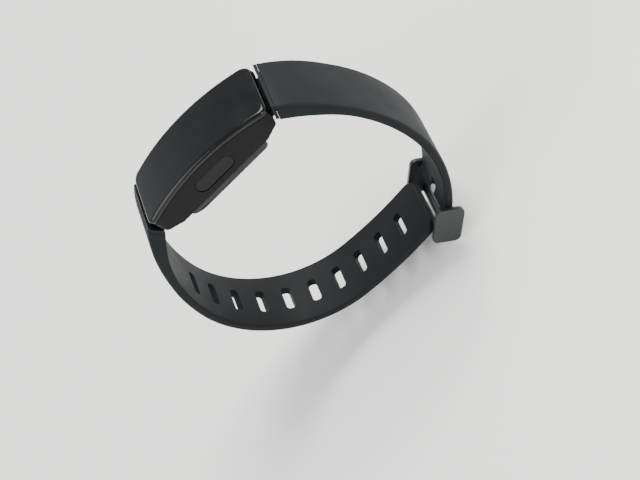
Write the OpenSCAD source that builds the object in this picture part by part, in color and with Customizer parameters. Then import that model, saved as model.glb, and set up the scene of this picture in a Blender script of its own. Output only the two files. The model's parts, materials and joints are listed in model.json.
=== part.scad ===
// Fitness tracker band: a slim curved tracker on two elastomer straps.
// X runs along the tracker towards the buckle strap, Y across the band, Z out of the display.
// The origin is the centre of the skin face on the back of the tracker.

/* [Tracker] */
// Length of the glass along the band
glass_l = 35.6; // [35.2:0.1:36.2]
// Width of the tracker across the band
tracker_w = 15.6; // [15.5:0.1:16]
// Height of the crown of the glass above the skin face
crown_z = 12.6; // [12.5:0.1:13]
// Lengthwise radius of the crown of the glass
crown_r = 55; // [52:1:60]
// Thickness of the glass
glass_t = 1.3; // [1.2:0.05:1.35]
// Corner radius of the glass seen from above
glass_corner = 2; // [1.5:0.1:2.5]

/* [Straps] */
// Width of both straps past their roots
strap_w = 16; // [15.6:0.1:16.2]
// Thickness of a strap at its root
root_t = 3.7; // [3.4:0.1:3.9]
// Thickness of a strap past its root
strap_t = 2; // [1.8:0.1:2.2]
// Thickness at the free end of a strap
end_t = 1.9; // [1.8:0.05:2]
// Number of adjustment slots in the tail strap
slot_n = 10; // [4:1:10]
// Distance from one slot to the next
slot_pitch = 6.5; // [6:0.1:6.5]
// Length of a slot across the strap
slot_l = 6.6; // [5:0.1:8]
// Width of a slot along the strap
slot_w = 2; // [1.6:0.1:2.4]

/* [Buckle] */
// Width of the buckle frame across the band
frame_w = 18.4; // [18.2:0.1:19]
// Length of the buckle frame along the strap
frame_l = 9.4; // [9.2:0.1:10]
// Depth of the side walls of the buckle frame
frame_h = 6.6; // [6:0.1:6.8]
// Radius of the buckle pin
pin_r = 0.6; // [0.5:0.05:0.65]

/* [Hidden] */
$fn = 48;

charcoal = [0.16, 0.17, 0.18];
gloss_black = [0.05, 0.05, 0.06];
steel = [0.75, 0.76, 0.78];

// Tracker: heights of the stack from the skin face up
glass_r = crown_r - glass_t;              // underside of the glass
gasket_t = 0.12;
rim_r = glass_r - gasket_t;               // top of the housing rim
floor_z = 4;                              // underside of the housing
ledge_z = 4.9;                            // ledge that the rear seal sits on
cavity_l = 24.8;
cavity_w = 13.2;
board_z = 6.7;
board_t = 0.8;
carrier_z = 7.6;                          // underside of the inner frame
display_z = 9;
display_t = 0.9;
half_w = tracker_w / 2;

// Joint between the tracker and a strap: a slanted plane through joint_x, joint_z
joint_x = 17.75;
joint_z = 7.05;
joint_tilt = 27;                          // lean of the joint plane from vertical
joint_gap = 0.35;
pivot_x = 15.2;                           // spring bar axis
pivot_z = 6.1;
knuckle_r = 1.1;
knuckle_w = 10.8;
recess_w = 11.2;
recess_top = 7.55;
bar_r = 0.7;
bar_bore = 0.72;
tip_r = 0.35;
tip_hole = 0.4;
release_y = -4.2;                         // rest place of the release lever
release_travel = 1.4;

// Strap centre lines: heading, then arcs of radius and turning angle
buckle_start = [17.8, 7.2, -43];
buckle_arcs = [[40, 48], [33, 45]];
tail_start = [17.8, 7.2, -43];
tail_arcs = [[40, 42], [26.3, 90], [94, 14]];
buckle_len = arcs_len(buckle_arcs);
tail_len = arcs_len(tail_arcs);
buckle_flex = 22;                         // distance of the flex line from the strap's root
tail_flex = 17;
flex_gap = 0.25;
root_taper = 18;                          // length over which a strap thins from its root
edge_r = 0.6;                             // rounding of a strap's long edges
first_slot = 8;                           // from the tail's free end to its first slot

// Buckle frame, in its own axes: along the strap, inwards, and across the band
frame_turn = -138;
frame_s = -1.6;                           // where the side walls start, from the pin
frame_out = -3.2;                         // outer edge of the side walls
frame_wall = 0.95;
eye_r = 1.3;                              // rolled end of the strap round the pin
notch_s = -3;                             // end of the notch that the tang swings in

function arcs_len(a, i = 0) = i < len(a) ? a[i][0] * a[i][1] * PI / 180 + arcs_len(a, i + 1) : 0;
// Point and heading at distance s along a centre line of arcs that turn clockwise
function along(start, arcs, s, i = 0) =
    let (r = arcs[i][0], full = r * arcs[i][1] * PI / 180,
         here = (i == len(arcs) - 1) ? s : min(s, full),
         h0 = start[2], h1 = h0 - here / r * 180 / PI,
         next = [start[0] + r * (sin(h0) - sin(h1)), start[1] + r * (cos(h1) - cos(h0)), h1])
    (s <= full || i == len(arcs) - 1) ? next : along(next, arcs, s - full, i + 1);
function ease(t) = let (c = min(1, max(0, t))) c * c * (3 - 2 * c);
function thick(s, total) =
    strap_t + (root_t - strap_t) * (1 - ease(s / root_taper)) + (end_t - strap_t) * ease(s / total);
function wide(s) = tracker_w - 0.4 + (strap_w - tracker_w + 0.4) * ease(s / 12);
// Rounded rectangle across the strap, as points [y, inwards]
function section(w, t) = [for (q = [[1, 1, 0], [-1, 1, 90], [-1, -1, 180], [1, -1, 270]], a = [0, 45, 90])
    [q[0] * (w / 2 - edge_r) + edge_r * cos(q[2] + a), q[1] * (t / 2 - edge_r) + edge_r * sin(q[2] + a)]];
// The free end of the tail narrows in plan to round its corners
function tip_w(s, total, r) = let (d = max(0, r - (total - s))) 2 * (r - sqrt(max(0, r * r - d * d)));

// Plate with rounded corners, between two heights
module plate(l, w, r, z0, z1, x = 0, y = 0) {
    translate([x, y, z0]) linear_extrude(z1 - z0) {
        square([l - 2 * r, w], center = true);
        square([l, w - 2 * r], center = true);
        for (i = [-1, 1], j = [-1, 1]) translate([i * (l / 2 - r), j * (w / 2 - r)]) circle(r);
    }
}

module block(x0, x1, y0, y1, z0, z1) {
    translate([x0, y0, z0]) cube([x1 - x0, y1 - y0, z1 - z0]);
}

// Round bar along Y through x, z
module y_bar(x, z, r, y0, y1) {
    translate([x, y1, z]) rotate([90, 0, 0]) cylinder(h = y1 - y0, r = r);
}

// Shape drawn in X and Z, extruded across the band
module across(w) {
    translate([0, w / 2, 0]) rotate([90, 0, 0]) linear_extrude(w) children();
}

// Everything under the crown surface of radius r
module under_crown(r) {
    intersection() {
        children();
        y_bar(0, crown_z - crown_r, r, -20, 20, $fn = 180);
    }
}

// The strap side of the slanted joint plane, beyond an offset from it
module beyond_joint(offset) {
    translate([joint_x, 0, joint_z]) rotate([0, joint_tilt, 0]) translate([offset, -15, -60])
        cube([90, 30, 80]);
}

/* Tracker */

module lens_glass() {
    color(gloss_black) difference() {
        under_crown(crown_r) plate(glass_l, tracker_w, glass_corner, 5, 14);
        y_bar(0, crown_z - crown_r, glass_r, -20, 20, $fn = 180);
    }
}

module lens_gasket() {
    color("dimgray") difference() {
        under_crown(glass_r) plate(glass_l - 0.3, tracker_w - 0.3, glass_corner - 0.1, 5, 14);
        y_bar(0, crown_z - crown_r, rim_r, -20, 20, $fn = 180);
        plate(glass_l - 3, cavity_w - 0.4, 1.6, 4, 15);
    }
}

module display_panel() {
    color("midnightblue") plate(20, 10.4, 0.8, display_z, display_z + display_t);
}

module inner_frame() {
    color("dimgray") difference() {
        under_crown(rim_r - 0.05) plate(cavity_l - 0.2, cavity_w - 0.2, 1.5, carrier_z, 10);
        plate(20.2, 10.6, 0.9, display_z, 12);
        plate(18, 8.6, 1, carrier_z + 0.6, 12);
        plate(4, 4, 0.8, 7, 12, x = -6);
    }
}

module circuit_board() {
    color("darkgreen") plate(cavity_l - 0.4, cavity_w - 0.4, 1.4, board_z, board_z + board_t);
}

module processor_chip() {
    color("black") block(-6.5, -1.5, -2.5, 2.5, board_z - 0.9, board_z);
}

module radio_shield() {
    color(steel) difference() {
        block(0.5, 7.5, -4, 4, board_z - 1.1, board_z);
        block(0.7, 7.3, -3.8, 3.8, board_z - 0.9, board_z + 1);
    }
}

module battery_cell() {
    color("silver") plate(16.4, 9.2, 1, 2.3, 5.3);
}

module vibration_motor() {
    color(steel) difference() {
        y_bar(10.6, 5.6, 1, -4, 2);
        y_bar(10.6, 5.6, 0.26, 0.4, 3);
    }
}

module motor_weight() {
    color("gray") {
        y_bar(10.6, 5.6, 0.22, 0.5, 4.8);
        difference() {
            y_bar(10.6, 5.6, 0.95, 2.3, 4.6);
            block(9, 12, 2, 5, 5.6, 7);
        }
    }
}

// Recess under the end of the tracker that takes a strap's knuckle
module knuckle_recess() {
    block(pivot_x - knuckle_r - 0.3, 20, -recess_w / 2, recess_w / 2, 2, recess_top);
    y_bar(pivot_x, pivot_z, tip_hole, -half_w + 0.7, half_w - 0.7);
}

// Outline of the recess for a touch pad, a capsule in X and Z
module pad_capsule(l, h) {
    square([l - h, h], center = true);
    for (i = [-1, 1]) translate([i * (l - h) / 2, 0]) circle(h / 2);
}

module pad_recess(side, l, h, y0, y1) {
    translate([0, side > 0 ? y1 : -y0, 7.2]) rotate([90, 0, 0]) linear_extrude(y1 - y0) pad_capsule(l, h);
}

module main_housing() {
    end_x = joint_x - joint_gap;
    color(gloss_black) difference() {
        under_crown(rim_r) intersection() {
            plate(glass_l, tracker_w, glass_corner, floor_z, 14);
            across(tracker_w + 1) polygon([[-12.8, floor_z], [12.8, floor_z], [16.6, 5.35],
                [end_x + 0.7, 8.7], [end_x + 0.7, 14], [-end_x - 0.7, 14], [-end_x - 0.7, 8.7],
                [-16.6, 5.35]]);
        }
        plate(cavity_l, cavity_w, 1.6, ledge_z, 15);
        plate(cavity_l + 0.8, cavity_w + 0.8, 2, 3, ledge_z);
        for (m = [0, 1]) mirror([m, 0, 0]) {
            knuckle_recess();
            beyond_joint(-joint_gap);
        }
        for (side = [-1, 1]) pad_recess(side, 10.4, 3.5, half_w - 0.35, half_w + 1);
    }
}

module side_touch_pads() {
    color("black") for (side = [-1, 1]) pad_recess(side, 10.2, 3.3, half_w - 0.35, half_w - 0.1);
}

module rear_seal() {
    color("black") difference() {
        plate(cavity_l + 0.7, cavity_w + 0.7, 1.9, 4.65, ledge_z);
        plate(cavity_l - 0.4, cavity_w - 0.4, 1.4, 4, 6);
    }
}

module rear_cover() {
    color(gloss_black) difference() {
        union() {
            plate(cavity_l + 0.7, cavity_w + 0.7, 1.9, floor_z, 4.6);
            intersection() {
                across(12) polygon(concat([[-11.2, 4.2], [11.2, 4.2]],
                    [for (a = [0:15:75]) [8.6 + 2.6 * cos(a), 2.6 - 2.6 * sin(a)]],
                    [for (a = [75:-15:0]) [-8.6 - 2.6 * cos(a), 2.6 - 2.6 * sin(a)]]));
                block(-12, 12, -5.9, 5.9, 0, 4.2);
                rotate([0, 0, 90]) across(30)
                    polygon([[-5.9, 4.2], [-5.9, 2], [-4.6, 0], [4.6, 0], [5.9, 2], [5.9, 4.2]]);
            }
        }
        plate(16.8, 9.6, 1.4, 1, 4.2);
        plate(cavity_l - 1.8, cavity_w - 1.8, 1, 4.2, 6);
        plate(7.6, 5.6, 1.2, -1, 2, x = -1.2);
        for (y = [-2.6, 0, 2.6]) translate([6.2, y, -1]) cylinder(h = 4, r = 0.7);
    }
}

module sensor_window() {
    color("darkslategray") plate(7.5, 5.5, 1.15, 0, 1, x = -1.2);
}

module sensor_board() {
    color("darkgreen") plate(15.6, 8.4, 0.8, 1.65, 2.2);
}

module sensor_leds() {
    color("palegreen") for (y = [-1.7, 1.7]) block(-4.2, -2.9, y - 0.6, y + 0.6, 1.1, 1.65);
}

module photodiode() {
    color("darkslategray") block(-1.6, 1.4, -1.5, 1.5, 1.15, 1.65);
}

module charging_contacts() {
    color("goldenrod") for (y = [-2.6, 0, 2.6]) translate([6.2, y, 0]) cylinder(h = 1.6, r = 0.68);
}

/* Strap hardware: drawn for the buckle side, mirrored for the tail side */

// Window under the bar for the release lever and its travel
module lever_window(half) {
    block(pivot_x - half, pivot_x + half, release_y - half, release_y + release_travel + half, 4, pivot_z);
}

// Children drawn along the strap in X and outwards in Z, from the root of its centre line
module at_root() {
    translate([buckle_start[0], 0, buckle_start[1]]) rotate([0, -buckle_start[2], 0]) children();
}

module adapter() {
    difference() {
        union() {
            y_bar(pivot_x, pivot_z, knuckle_r, -knuckle_w / 2, knuckle_w / 2);
            across(knuckle_w) polygon([[pivot_x, 7.1], [joint_x - 0.1, 6.85], [joint_x - 0.75, 5.4],
                [pivot_x, 5.05]]);
            difference() {
                intersection() {
                    at_root() rotate([0, 90, 0]) plate(root_t - 0.1, tracker_w - 0.4, 0.9, -3, 3);
                    beyond_joint(0);
                }
                beyond_joint(0.7);
            }
            intersection() {
                at_root() block(-2, 4.6, -6, 6, -0.5, 0.5);
                beyond_joint(0.6);
            }
        }
        y_bar(pivot_x, pivot_z, bar_bore, -8, 8);
        lever_window(0.55);
    }
}

module spring_bar() {
    near = -knuckle_w / 2;
    color(steel) difference() {
        union() {
            y_bar(pivot_x, pivot_z, bar_r, near, -near);
            y_bar(pivot_x, pivot_z, tip_r, -near, half_w - 0.9);
        }
        y_bar(pivot_x, pivot_z, 0.52, near + 0.3, 4.6);
        y_bar(pivot_x, pivot_z, 0.37, near - 1, near + 1);
        lever_window(0.42);
    }
}

module release_pin() {
    color(steel) {
        y_bar(pivot_x, pivot_z, tip_r, -half_w + 0.9, release_y);
        y_bar(pivot_x, pivot_z, 0.5, -knuckle_w / 2 + 0.35, release_y + 1);
        translate([pivot_x, release_y, pivot_z - 1.75]) cylinder(h = 1.6, r = 0.36);
    }
}

// Coil spring inside the bar, as a helix of small round wire
module bar_spring() {
    y0 = release_y + 1.1;
    y1 = 4.5;
    turns = 9;
    steps = 10;
    wire = 0.08;
    coil = 0.38;
    rings = turns * steps;
    pts = [for (i = [0:rings], k = [0:5]) let (a = i * 360 / steps, b = k * 60)
        [pivot_x + (coil + wire * cos(b)) * cos(a),
         y0 + wire + (y1 - y0 - 2 * wire) * i / rings + wire * sin(b),
         pivot_z + (coil + wire * cos(b)) * sin(a)]];
    sides = [for (i = [0:rings - 1], k = [0:5])
        [i * 6 + k, (i + 1) * 6 + k, (i + 1) * 6 + (k + 1) % 6, i * 6 + (k + 1) % 6]];
    color(steel) polyhedron(pts, concat([[5, 4, 3, 2, 1, 0]], [[for (k = [0:5]) rings * 6 + k]],
        [for (f = sides) [f[3], f[2], f[1], f[0]]]), convexity = 10);
}

/* Straps */

// Strap swept along its centre line between two distances
module strap_sweep(start, arcs, total, s0, s1, tip = 0) {
    count = ceil((s1 - s0) / 2.4);
    stations = [for (i = [0:count]) s0 + (s1 - s0) * i / count];
    tip_steps = tip > 0 ? [for (a = [30, 50, 65, 78, 90]) total - tip + tip * sin(a)] : [];
    all = tip > 0 ? concat([for (s = stations) if (s < total - tip) s], [total - tip], tip_steps) : stations;
    pts = [for (s = all) let (p = along(start, arcs, s), n = [sin(p[2]), -cos(p[2])])
        for (q = section(wide(s) - (tip > 0 ? tip_w(s, total, tip) : 0), thick(s, total)))
            [p[0] + n[0] * q[1], q[0], p[1] + n[1] * q[1]]];
    m = 12;
    last = len(all) - 1;
    faces = concat([[for (k = [m - 1:-1:0]) k]], [[for (k = [0:m - 1]) last * m + k]],
        [for (i = [0:last - 1], k = [0:m - 1]) let (n = (k + 1) % m)
            each [[i * m + k, i * m + n, (i + 1) * m + n], [i * m + k, (i + 1) * m + n, (i + 1) * m + k]]]);
    polyhedron(pts, faces, convexity = 6);
}

// Round clearance on a flex line
module flex_bar(start, arcs, s, total, gap) {
    p = along(start, arcs, s);
    y_bar(p[0], p[1], thick(s, total) / 2 + gap, -12, 12);
}

module strap_root(start, arcs, flex, total) {
    difference() {
        strap_sweep(start, arcs, total, 0, flex);
        flex_bar(start, arcs, flex, total, flex_gap);
        root_cut();
        at_root() block(-3, 4.62, -6.02, 6.02, -0.52, 0.52);
    }
}

// Everything on the tracker's side of the adapter's head
module root_cut() {
    translate([joint_x, 0, joint_z]) rotate([0, joint_tilt, 0]) translate([-30 + 0.72, -15, -30])
        cube([30, 30, 60]);
}

module strap_body(start, arcs, flex, total, tip = 0) {
    p = along(start, arcs, flex);
    strap_sweep(start, arcs, total, flex, total, tip);
    y_bar(p[0], p[1], thick(flex, total) / 2 - 0.1, -strap_w / 2 + edge_r, strap_w / 2 - edge_r);
}

// Place children in the buckle frame's own axes at the end of the buckle strap
module at_buckle() {
    p = along(buckle_start, buckle_arcs, buckle_len);
    translate([p[0], 0, p[1]]) rotate([0, -frame_turn, 0]) rotate([180, 0, 0]) children();
}

module buckle_adapter() {
    color(charcoal) adapter();
}

module tail_adapter() {
    color(charcoal) mirror([1, 0, 0]) adapter();
}

module buckle_spring_bar() {
    spring_bar();
}

module tail_spring_bar() {
    mirror([1, 0, 0]) spring_bar();
}

module buckle_release_pin() {
    release_pin();
}

module tail_release_pin() {
    mirror([1, 0, 0]) release_pin();
}

module buckle_bar_spring() {
    bar_spring();
}

module tail_bar_spring() {
    mirror([1, 0, 0]) bar_spring();
}

module buckle_strap_root() {
    color(charcoal) strap_root(buckle_start, buckle_arcs, buckle_flex, buckle_len);
}

module buckle_strap_end() {
    color(charcoal) difference() {
        union() {
            strap_body(buckle_start, buckle_arcs, buckle_flex, buckle_len);
            at_buckle() y_bar(0, 0, eye_r, -strap_w / 2, strap_w / 2);
        }
        at_buckle() {
            y_bar(0, 0, pin_r + 0.05, -10, 10);
            block(notch_s, 6, -1.25, 1.25, -3, 3);
        }
    }
}

module tail_strap_root() {
    color(charcoal) mirror([1, 0, 0]) strap_root(tail_start, tail_arcs, tail_flex, tail_len);
}

module tail_strap_end() {
    color(charcoal) mirror([1, 0, 0]) difference() {
        strap_body(tail_start, tail_arcs, tail_flex, tail_len, tip = 3);
        for (i = [0:slot_n - 1]) {
            p = along(tail_start, tail_arcs, tail_len - first_slot - i * slot_pitch);
            translate([p[0], 0, p[1]]) rotate([0, -p[2], 0]) {
                block(-slot_w / 2, slot_w / 2, -slot_l / 2 + slot_w / 2, slot_l / 2 - slot_w / 2, -3, 3);
                for (side = [-1, 1])
                    translate([0, side * (slot_l - slot_w) / 2, -3]) cylinder(h = 6, r = slot_w / 2);
            }
        }
    }
}

/* Buckle */

// Side wall of the frame: a rounded plate along the strap and inwards
module frame_wall_plate(y0) {
    translate([frame_s + frame_l / 2, y0, frame_out + frame_h / 2]) rotate([-90, 0, 0])
        plate(frame_l, frame_h, 1.4, 0, frame_wall);
}

module buckle_frame() {
    inner = frame_w / 2 - frame_wall;
    end_s = frame_s + frame_l;
    color(charcoal) at_buckle() difference() {
        union() {
            for (y0 = [-frame_w / 2, inner]) frame_wall_plate(y0);
            y_bar(end_s - 1, -1.1, 0.9, -inner, inner);
            block(end_s - 1.6, end_s - 0.4, -inner, inner, -2, -1.1);
        }
        for (y0 = [-frame_w / 2 + 0.4, inner - 0.1])
            y_bar(0, 0, pin_r, y0, y0 + frame_wall - 0.3);
        block(end_s - 3, end_s + 1, -1.15, 1.15, frame_out - 1, -1.65);
    }
}

module buckle_pin() {
    color(steel) at_buckle() y_bar(0, 0, pin_r, -frame_w / 2 + 0.45, frame_w / 2 - 0.45);
}

// Tang: an eye on the pin, and a flat tongue to the frame's end bar
module buckle_tang() {
    end_s = frame_s + frame_l;
    color(steel) at_buckle() difference() {
        union() {
            y_bar(0, 0, pin_r + 0.5, -1.1, 1.1);
            across(1.8) polygon([[0, -pin_r - 0.5], [0.9, -pin_r + 0.1], [end_s - 1.8, -1.95],
                [end_s - 0.4, -1.95], [end_s - 0.4, -2.6], [end_s - 2, -2.65], [0.2, -pin_r - 0.5]]);
            translate([end_s - 0.4, 0, -2.6]) cylinder(h = 0.65, r = 0.9);
        }
        y_bar(0, 0, pin_r + 0.04, -3, 3);
    }
}

lens_glass();
lens_gasket();
display_panel();
inner_frame();
circuit_board();
processor_chip();
radio_shield();
battery_cell();
vibration_motor();
motor_weight();
main_housing();
side_touch_pads();
rear_seal();
rear_cover();
sensor_window();
sensor_board();
sensor_leds();
photodiode();
charging_contacts();
buckle_adapter();
buckle_spring_bar();
buckle_release_pin();
buckle_bar_spring();
buckle_strap_root();
buckle_strap_end();
tail_adapter();
tail_spring_bar();
tail_release_pin();
tail_bar_spring();
tail_strap_root();
tail_strap_end();
buckle_frame();
buckle_pin();
buckle_tang();
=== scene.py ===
import json
import math

import bmesh
import bpy
from mathutils import Matrix, Vector


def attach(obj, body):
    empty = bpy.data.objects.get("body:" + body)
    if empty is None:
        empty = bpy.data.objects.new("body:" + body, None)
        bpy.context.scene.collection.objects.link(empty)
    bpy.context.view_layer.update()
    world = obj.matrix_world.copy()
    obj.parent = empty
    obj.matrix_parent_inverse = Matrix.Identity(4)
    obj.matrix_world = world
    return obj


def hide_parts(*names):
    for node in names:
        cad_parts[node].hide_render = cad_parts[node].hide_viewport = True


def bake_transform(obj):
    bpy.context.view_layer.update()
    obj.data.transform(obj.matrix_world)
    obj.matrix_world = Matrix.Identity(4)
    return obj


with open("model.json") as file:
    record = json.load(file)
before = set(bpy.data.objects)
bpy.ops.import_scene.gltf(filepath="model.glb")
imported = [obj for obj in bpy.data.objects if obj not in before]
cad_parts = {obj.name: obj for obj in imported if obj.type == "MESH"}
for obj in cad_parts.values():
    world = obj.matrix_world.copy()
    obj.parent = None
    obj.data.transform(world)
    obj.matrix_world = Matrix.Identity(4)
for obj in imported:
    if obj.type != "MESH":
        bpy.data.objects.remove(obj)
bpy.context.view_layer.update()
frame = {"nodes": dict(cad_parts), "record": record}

MM = 0.001

# Straps, in millimetres: x, z and heading at the root, then arcs of radius and turning angle
STRAP_START = (17.8, 7.2, -43.0)
BUCKLE_ARCS = ((40.0, 48.0), (33.0, 45.0))
TAIL_ARCS = ((40.0, 42.0), (26.3, 90.0), (94.0, 14.0))
STRAP_T, ROOT_T, END_T = 2.0, 3.7, 1.9
ROOT_W, WIDENING = 15.2, 0.8                # width at the root, and how much wider it gets
THICK_TAPER, WIDTH_TAPER = 18, 12           # lengths over which thickness and width settle
INNER_EDGE, OUTER_EDGE = 0.55, 0.85         # rounding of the long edges
EDGE_STEPS = 6
RING_STEP = 0.8                             # from one ring of a strap's mesh to the next
BUCKLE_FLEX, TAIL_FLEX = 22.0, 17.0         # distances of the flex lines from the root
SLOT_L, SLOT_W, SLOT_PITCH, FIRST_SLOT, SLOT_COUNT = 6.6, 2.0, 6.5, 8, 10
NOTCH = (3.0, 2.0, 2.5)                     # behind the pin, ahead of it, and across

# Joint with the tracker: the slanted plane, the thickness of the adapter's head, and the first plain ring
JOINT_AT, JOINT_LEAN, HEAD_T, ROOT_CLEAR = (17.75, 7.05), 27.0, 0.74, 2.2

# Rolled end of the buckle strap round the pin
EYE_R, EYE_BORE, EYE_INNER_Y, EYE_OUTER_Y = 1.3, 0.66, 1.25, 8.0

# Cover glass
GLASS_L, TRACKER_W, CROWN_Z, CROWN_R, GLASS_T = 35.6, 15.6, 12.6, 55.0, 1.3
GLASS_CORNER, GLASS_EDGE = 2.0, 0.75
FLOOR_Z = -0.0545


# ---------------------------------------------------------------- materials

def link(tree, a, out, b, into):
    tree.links.new(a.outputs[out], b.inputs[into])


def surface(name, color, rough, metal=0.0, coat=0.0, vary=0.18, spread=0.12, patch=90.0, grain=2600.0,
            bump=0.02, stretch=(1, 1, 1), dust=0.0, gleam=0.5):
    """A procedural finish: patches vary the colour and roughness, and a fine grain gives relief.

    vary and spread are how far the colour and roughness go each way, patch and grain are noise scales,
    bump is the depth of the grain in millimetres, dust lightens the paler patches, gleam is specular.
    """
    mat = bpy.data.materials.new(name)
    mat.use_nodes = True
    tree = mat.node_tree
    shader = tree.nodes["Principled BSDF"]
    shader.inputs["Metallic"].default_value = metal
    shader.inputs["Coat Weight"].default_value = coat
    shader.inputs["Specular IOR Level"].default_value = gleam
    shader.inputs["Coat Roughness"].default_value = 0.08
    coords = tree.nodes.new("ShaderNodeTexCoord")
    mapping = tree.nodes.new("ShaderNodeMapping")
    mapping.inputs["Scale"].default_value = stretch
    link(tree, coords, "Object", mapping, "Vector")
    patches = tree.nodes.new("ShaderNodeTexNoise")
    patches.inputs["Scale"].default_value = patch
    patches.inputs["Detail"].default_value = 4
    link(tree, mapping, "Vector", patches, "Vector")
    fine = tree.nodes.new("ShaderNodeTexNoise")
    fine.inputs["Scale"].default_value = grain
    fine.inputs["Detail"].default_value = 2
    link(tree, mapping, "Vector", fine, "Vector")
    ramp = tree.nodes.new("ShaderNodeValToRGB")
    ramp.color_ramp.elements[0].position = 0.3
    ramp.color_ramp.elements[1].position = 0.7
    ramp.color_ramp.elements[0].color = [c * (1 - vary) for c in color] + [1]
    ramp.color_ramp.elements[1].color = [c * (1 + vary) + dust for c in color] + [1]
    link(tree, patches, "Fac", ramp, "Fac")
    link(tree, ramp, "Color", shader, "Base Color")
    gloss = tree.nodes.new("ShaderNodeMapRange")
    gloss.inputs["From Min"].default_value = 0.3
    gloss.inputs["From Max"].default_value = 0.7
    gloss.inputs["To Min"].default_value = max(0.03, rough - spread)
    gloss.inputs["To Max"].default_value = min(1.0, rough + spread)
    link(tree, patches, "Fac", gloss, "Value")
    link(tree, gloss, "Result", shader, "Roughness")
    relief = tree.nodes.new("ShaderNodeBump")
    relief.inputs["Strength"].default_value = 0.5
    relief.inputs["Distance"].default_value = bump * MM
    link(tree, fine, "Fac", relief, "Height")
    link(tree, relief, "Normal", shader, "Normal")
    return mat


FINISHES = {
    "cover_glass": surface("cover_glass", (0.002, 0.0024, 0.003), 0.14, coat=0.12, spread=0.09, patch=140,
                           bump=0.002, dust=0.002, gleam=0.25),
    "housing_plastic": surface("housing_plastic", (0.002, 0.0022, 0.0025), 0.24, coat=0.04, patch=200,
                               bump=0.004, gleam=0.12),
    "touch_pad": surface("touch_pad", (0.003, 0.0033, 0.0036), 0.3, patch=220, bump=0.004, gleam=0.2),
    "rear_plastic": surface("rear_plastic", (0.006, 0.0065, 0.007), 0.33, coat=0.08, patch=180, bump=0.01,
                            gleam=0.25),
    "strap": surface("strap", (0.009, 0.0108, 0.0126), 0.6, vary=0.12, spread=0.08, patch=120, grain=5200,
                     bump=0.03, gleam=0.12),
    "adapter_plastic": surface("adapter_plastic", (0.009, 0.0105, 0.012), 0.5, patch=200, bump=0.02,
                               gleam=0.12),
    "buckle_plastic": surface("buckle_plastic", (0.008, 0.009, 0.011), 0.4, patch=150, grain=3800, bump=0.03),
    "steel": surface("steel", (0.62, 0.63, 0.65), 0.24, metal=1, vary=0.08, spread=0.1, patch=420,
                     bump=0.006, stretch=(1, 6, 1)),
    "tinned_steel": surface("tinned_steel", (0.55, 0.56, 0.58), 0.36, metal=1, vary=0.1, patch=300,
                            bump=0.01, stretch=(1, 4, 1)),
    "gold": surface("gold", (0.83, 0.6, 0.26), 0.25, metal=1, vary=0.1, patch=500, bump=0.004),
    "cell_foil": surface("cell_foil", (0.6, 0.61, 0.63), 0.34, metal=1, vary=0.1, patch=260,
                         grain=1500, bump=0.03),
    "display": surface("display", (0.006, 0.006, 0.012), 0.14, coat=0.6, patch=200, bump=0.002),
    "black_seal": surface("black_seal", (0.014, 0.014, 0.015), 0.7, patch=300, bump=0.02),
    "inner_plastic": surface("inner_plastic", (0.05, 0.052, 0.055), 0.55, patch=240, bump=0.02),
    "board": surface("board", (0.012, 0.075, 0.035), 0.4, coat=0.3, patch=700, grain=3000, bump=0.03),
    "chip_plastic": surface("chip_plastic", (0.018, 0.018, 0.02), 0.5, patch=500, bump=0.02),
    "sensor_glass": surface("sensor_glass", (0.008, 0.02, 0.018), 0.12, coat=0.7, patch=320, bump=0.002),
}
SLOT_OF = {row["node"]: row["material_slot"] for row in frame["record"]["subparts"]}
BODY_OF = {node: body for body, group in frame["record"]["behaviour"]["bodies"].items() for node in group}


# ---------------------------------------------------------------- meshes

def finished(name, bm, slot, sharp=40.0):
    """A mesh object from bm, with smooth shading between faces that meet at less than the sharp angle."""
    bmesh.ops.recalc_face_normals(bm, faces=bm.faces)
    mesh = bpy.data.meshes.new(name)
    for face in bm.faces:
        face.smooth = True
    for edge in bm.edges:
        edge.smooth = len(edge.link_faces) == 2 and edge.calc_face_angle(0.0) < math.radians(sharp)
    bm.to_mesh(mesh)
    bm.free()
    obj = bpy.data.objects.new(name, mesh)
    bpy.context.scene.collection.objects.link(obj)
    mesh.materials.append(FINISHES[slot])
    return obj


def baked(obj):
    """Applies obj's modifiers to its mesh."""
    graph = bpy.context.evaluated_depsgraph_get()
    mesh = bpy.data.meshes.new_from_object(obj.evaluated_get(graph))
    obj.modifiers.clear()
    obj.data = mesh
    return obj


def eased(node, width, segments=3):
    """A copy of a CAD node that stands for it: rounded edges, or with no width only smooth shading."""
    source = frame["nodes"][node]
    bm = bmesh.new()
    bm.from_mesh(source.data)
    bm.transform(source.matrix_world)
    bmesh.ops.remove_doubles(bm, verts=bm.verts, dist=2e-6)
    if width:
        bmesh.ops.dissolve_limit(bm, angle_limit=math.radians(0.5), verts=bm.verts, edges=bm.edges)
    obj = finished(node + "_shell", bm, SLOT_OF[node])
    if width:
        bevel = obj.modifiers.new("ease", "BEVEL")
        bevel.width = width * MM
        bevel.segments = segments
        bevel.limit_method = "ANGLE"
        bevel.angle_limit = math.radians(35)
        bevel.use_clamp_overlap = True
        bevel.harden_normals = True
        baked(obj)
    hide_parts(node)
    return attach(obj, BODY_OF[node])


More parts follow.
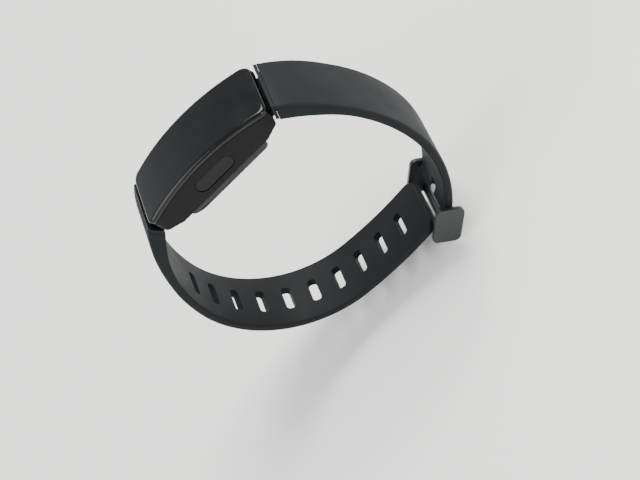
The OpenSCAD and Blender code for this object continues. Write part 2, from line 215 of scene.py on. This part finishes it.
def rounded_plan(l, w, r, inset, along_side=56, corner=9):
    """Points of a rounded rectangle, drawn in by inset; every inset gives the same number of points."""
    radius = max(r - inset, 0.02)
    hx, hy = l / 2 - inset - radius, w / 2 - inset - radius
    points = []
    for turn, (sx, sy) in enumerate(((1, 1), (-1, 1), (-1, -1), (1, -1))):
        for i in range(corner + 1):
            a = math.radians(turn * 90 + 90 * i / corner)
            points.append((sx * hx + radius * math.cos(a), sy * hy + radius * math.sin(a)))
        count = along_side if turn % 2 == 0 else 14
        nx, ny = ((-1, 1), (-1, -1), (1, -1), (1, 1))[turn]
        a = math.radians(turn * 90 + 90)
        last = (sx * hx + radius * math.cos(a), sy * hy + radius * math.sin(a))
        first = (nx * hx + radius * math.cos(a), ny * hy + radius * math.sin(a))
        for i in range(1, count):
            t = i / count
            points.append((last[0] + (first[0] - last[0]) * t, last[1] + (first[1] - last[1]) * t))
    return points


def skin(bm, rings, close_start=True, close_end=True):
    """Quads through rings of equal length, with a face on each open end."""
    loops = [[bm.verts.new(Vector(p) * MM) for p in ring] for ring in rings]
    count = len(loops[0])
    for a, b in zip(loops, loops[1:]):
        for i in range(count):
            j = (i + 1) % count
            bm.faces.new((a[i], a[j], b[j], b[i]))
    if close_start:
        bm.faces.new(loops[0][::-1])
    if close_end:
        bm.faces.new(loops[-1])


def crown(radius, x):
    return CROWN_Z - CROWN_R + math.sqrt(radius * radius - x * x)


def glass():
    """Cover glass: a plate bent along its length, with a soft edge all round its top."""
    under = CROWN_R - GLASS_T
    rows = [(under, inset, 0.0) for inset in (7.79, 6.5, 5.0, 2.5, 1.2, 0.3, 0.12)]
    rows += [(under, 0.03, 0.05), (under, 0.0, 0.14), (under, 0.0, GLASS_T - GLASS_EDGE)]
    for i in range(1, 8):
        a = math.radians(90 * i / 7)
        rows.append((CROWN_R, GLASS_EDGE * (1 - math.cos(a)), -GLASS_EDGE * (1 - math.sin(a))))
    rows += [(CROWN_R, inset, 0.0) for inset in (1.1, 1.6, 2.5, 4.0, 5.8, 7.0, 7.79)]
    rings = []
    for radius, inset, rise in rows:
        plan = rounded_plan(GLASS_L, TRACKER_W, GLASS_CORNER, inset)
        rings.append([(x, y, crown(radius, x) + rise) for x, y in plan])
    bm = bmesh.new()
    skin(bm, rings)
    obj = finished("lens_glass_shell", bm, "cover_glass", sharp=50)
    # The crown's exact normals, because its rings meet in slivers along the middle
    normals = []
    for vert in obj.data.vertices:
        out = Vector((vert.co.x, 0, vert.co.z - (CROWN_Z - CROWN_R) * MM))
        on_crown = abs(out.length - CROWN_R * MM) < 1e-7
        normals.append(out.normalized() if on_crown else vert.normal.copy())
    obj.data.normals_split_custom_set_from_vertices(normals)
    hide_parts("lens_glass")
    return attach(obj, "tracker")


def along(arcs, s):
    """x, z and heading in degrees at distance s along a strap's centre line."""
    x, z, h = STRAP_START
    for i, (r, turn) in enumerate(arcs):
        length = r * math.radians(turn)
        step = s if i == len(arcs) - 1 else min(s, length)
        after = h - math.degrees(step / r)
        x += r * (math.sin(math.radians(h)) - math.sin(math.radians(after)))
        z += r * (math.cos(math.radians(after)) - math.cos(math.radians(h)))
        h, s = after, s - step
        if s <= 1e-9:
            break
    return x, z, h


def arcs_length(arcs):
    return sum(r * math.radians(turn) for r, turn in arcs)


def ease(t):
    """Runs smoothly from 0 to 1 as t does."""
    t = min(1.0, max(0.0, t))
    return t * t * (3 - 2 * t)


def strap_ring(arcs, total, s, sign, narrow=0.0, shrink=0.0):
    """Points round a strap's section at s. Its outer long edges are softer than its inner ones."""
    x, z, h = along(arcs, s)
    a = math.radians(h)
    thick = STRAP_T + (ROOT_T - STRAP_T) * (1 - ease(s / THICK_TAPER))
    thick += (END_T - STRAP_T) * ease(s / total) - shrink
    wide = ROOT_W + WIDENING * ease(s / WIDTH_TAPER) - narrow - shrink
    points = []
    for turn, (sy, sn) in enumerate(((1, 1), (-1, 1), (-1, -1), (1, -1))):
        r = min(thick / 2 - 0.05, INNER_EDGE if sn > 0 else OUTER_EDGE)
        for i in range(EDGE_STEPS + 1):
            q = math.radians(turn * 90 + 90 * i / EDGE_STEPS)
            y = sy * (wide / 2 - r) + r * math.cos(q)
            n = sn * (thick / 2 - r) + r * math.sin(q)
            points.append((sign * (x + n * math.sin(a)), sign * y, z - n * math.cos(a)))
    return points


def cutter(at, heading, sign, l, w, r=0.75):
    """A round-cornered slot cutter across a strap."""
    bm = bmesh.new()
    plan = rounded_plan(l, w, r, 0.0, along_side=2, corner=6)
    skin(bm, [[(x, y, z) for x, y in plan] for z in (-4, 4)])
    turn = Matrix.Rotation(-math.radians(heading), 4, "Y")
    place = Matrix.Translation(Vector((at[0], 0, at[1])) * MM)
    bm.transform(Matrix.Diagonal((sign, 1, 1, 1)) @ place @ turn)
    bmesh.ops.recalc_face_normals(bm, faces=bm.faces)
    mesh = bpy.data.meshes.new("cut")
    bm.to_mesh(mesh)
    bm.free()
    obj = bpy.data.objects.new("cut", mesh)
    bpy.context.scene.collection.objects.link(obj)
    return obj


def cut(obj, cutters):
    for tool in cutters:
        step = obj.modifiers.new("slot", "BOOLEAN")
        step.operation = "DIFFERENCE"
        step.solver = "EXACT"
        step.object = tool
    baked(obj)
    for tool in cutters:
        bpy.data.objects.remove(tool)


def slanted(ring, sign, out):
    """Slides a ring's points along the strap until they lie out beyond the adapter's slanted face."""
    lean, heading = math.radians(JOINT_LEAN), math.radians(STRAP_START[2])
    normal, travel = (math.cos(lean), -math.sin(lean)), (math.cos(heading), math.sin(heading))
    rate = normal[0] * travel[0] + normal[1] * travel[1]
    points = []
    for x, y, z in ring:
        depth = (sign * x - JOINT_AT[0]) * normal[0] + (z - JOINT_AT[1]) * normal[1]
        move = (HEAD_T + out - depth) / rate
        points.append((x + sign * travel[0] * move, y, z + travel[1] * move))
    return points


def strap(side, arcs, flex, sign, reach, slots=(), tip=0.0, short=0.0, notch=()):
    """One smooth strap along its arcs, which stops short of its end."""
    total = arcs_length(arcs)
    stop = total - tip - short
    count = int((stop - ROOT_CLEAR) / RING_STEP)
    step = (stop - ROOT_CLEAR) / count
    rings = [slanted(strap_ring(arcs, total, RING_STEP, sign, shrink=shrink), sign, out)
             for shrink, out in ((0.16, 0.0), (0.05, 0.03), (0.0, 0.1))]
    rings += [strap_ring(arcs, total, ROOT_CLEAR + step * i, sign) for i in range(count + 1)]
    if tip:
        for a in range(9, 82, 9):
            q = math.radians(a)
            shrink = 0.0 if a < 60 else 0.9 * (a - 60) / 30
            rings.append(strap_ring(arcs, total, stop + tip * math.sin(q), sign,
                                    narrow=2 * tip * (1 - math.cos(q)), shrink=shrink))
        rings.append(strap_ring(arcs, total, total, sign, narrow=2 * tip * 0.96, shrink=1.1))
    bm = bmesh.new()
    skin(bm, rings)
    obj = finished(side + "_strap_skin", bm, "strap", sharp=50)
    tools = []
    for s in slots:
        x, z, h = along(arcs, s)
        tools.append(cutter((x, z), h, sign, SLOT_W, SLOT_L))
    if notch:
        behind, ahead, width = notch
        x, z, h = along(arcs, total + (ahead - behind) / 2)
        tools.append(cutter((x, z), h, sign, behind + ahead, width, r=0.5))
    if tools:
        cut(obj, tools)
    for poly in obj.data.polygons:
        poly.use_smooth = True
    obj.data.set_sharp_from_angle(angle=math.radians(48))
    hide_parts(side + "_strap_root", side + "_strap_end")
    a = along(arcs, flex - reach)
    b = along(arcs, flex + reach)
    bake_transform(obj)
    return obj


def tube(name, slot, body, axis_at, radius, inner, y0, y1, r_edge=0.15, count=32):
    """A round sleeve along Y with eased rims."""
    x, z = axis_at[:2]
    circle = [(math.cos(math.tau * i / count), math.sin(math.tau * i / count)) for i in range(count)]
    outer = [(radius - r_edge, y0), (radius - 0.3 * r_edge, y0 + 0.3 * r_edge), (radius, y0 + r_edge),
             (radius, y1 - r_edge), (radius - 0.3 * r_edge, y1 - 0.3 * r_edge), (radius - r_edge, y1)]
    profile = [(inner, y0)] + outer + [(inner, y1), (inner, y0)]
    rings = [[(x + r * cx, y, z + r * cz) for cx, cz in circle] for r, y in profile]
    bm = bmesh.new()
    skin(bm, rings, False, False)
    bmesh.ops.remove_doubles(bm, verts=bm.verts, dist=1e-7)
    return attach(finished(name, bm, slot), body)


# ---------------------------------------------------------------- pieces

for name, node in frame["nodes"].items():
    node.data.materials.clear()
    node.data.materials.append(FINISHES[SLOT_OF[name]])

glass()
eased("main_housing", 0.22)
eased("rear_cover", 0)
eased("side_touch_pads", 0.1)
for end in ("buckle", "tail"):
    eased(end + "_adapter", 0.18)
eased("buckle_frame", 0.32, segments=4)
eased("buckle_tang", 0.16)
eased("buckle_pin", 0.12)

pin = along(BUCKLE_ARCS, arcs_length(BUCKLE_ARCS))
slots = [arcs_length(TAIL_ARCS) - FIRST_SLOT - SLOT_PITCH * i for i in range(SLOT_COUNT)]
strap("tail", TAIL_ARCS, TAIL_FLEX, -1, 8.0, slots=slots, tip=3.0)
strap("buckle", BUCKLE_ARCS, BUCKLE_FLEX, 1, 10.0, short=0.8, notch=NOTCH)
for name, side in (("strap_eye_a", -1), ("strap_eye_b", 1)):
    lo, hi = sorted((side * EYE_INNER_Y, side * EYE_OUTER_Y))
    tube(name, "strap", "buckle_side_end", pin, EYE_R, EYE_BORE, lo, hi)


# ---------------------------------------------------------------- floor, light and camera

bpy.ops.mesh.primitive_plane_add(size=6, location=(0, 0, FLOOR_Z))
floor = bpy.context.object
floor.name = "floor"
floor.data.materials.append(surface("floor_paint", (0.86, 0.865, 0.835), 0.6, vary=0.015, patch=6, grain=400))

world = bpy.data.worlds.new("studio")
bpy.context.scene.world = world
world.use_nodes = True
world.node_tree.nodes["Background"].inputs["Color"].default_value = (0.86, 0.9, 0.95, 1)
world.node_tree.nodes["Background"].inputs["Strength"].default_value = 0.7


def lamp(name, at, aim, size, power, color=(1, 1, 1)):
    data = bpy.data.lights.new(name, "AREA")
    data.shape = "RECTANGLE"
    data.size, data.size_y = size
    data.energy = power
    data.color = color
    obj = bpy.data.objects.new(name, data)
    bpy.context.scene.collection.objects.link(obj)
    obj.location = at
    obj.rotation_euler = (Vector(aim) - Vector(at)).to_track_quat("-Z", "Y").to_euler()


lamp("key", (0.35, 0.25, 0.55), (0, 0, -0.02), (0.5, 0.5), 10.5, (1, 0.985, 0.95))
lamp("fill", (-0.5, -0.35, 0.45), (0, 0, -0.02), (0.7, 0.6), 5.5, (0.98, 0.98, 0.97))
lamp("rim", (0.45, -0.45, 0.12), (0, 0, -0.01), (0.25, 0.4), 1.6)

camera = bpy.data.objects.new("camera", bpy.data.cameras.new("camera"))
bpy.context.scene.collection.objects.link(camera)
camera.data.lens = 93.1
camera.data.sensor_width = 36
camera.data.sensor_fit = "HORIZONTAL"
camera.data.clip_start = 0.01
CAMERA_AT = Vector((117.2, -255.2, 202.2)) * MM
RIGHT, UP, BACK = (0.6869, -0.287, -0.6677), (0.6466, 0.6606, 0.3813), (0.3317, -0.6937, 0.6394)
camera.matrix_world = Matrix.Translation(CAMERA_AT) @ Matrix((RIGHT, UP, BACK)).transposed().to_4x4()
bpy.context.scene.camera = camera
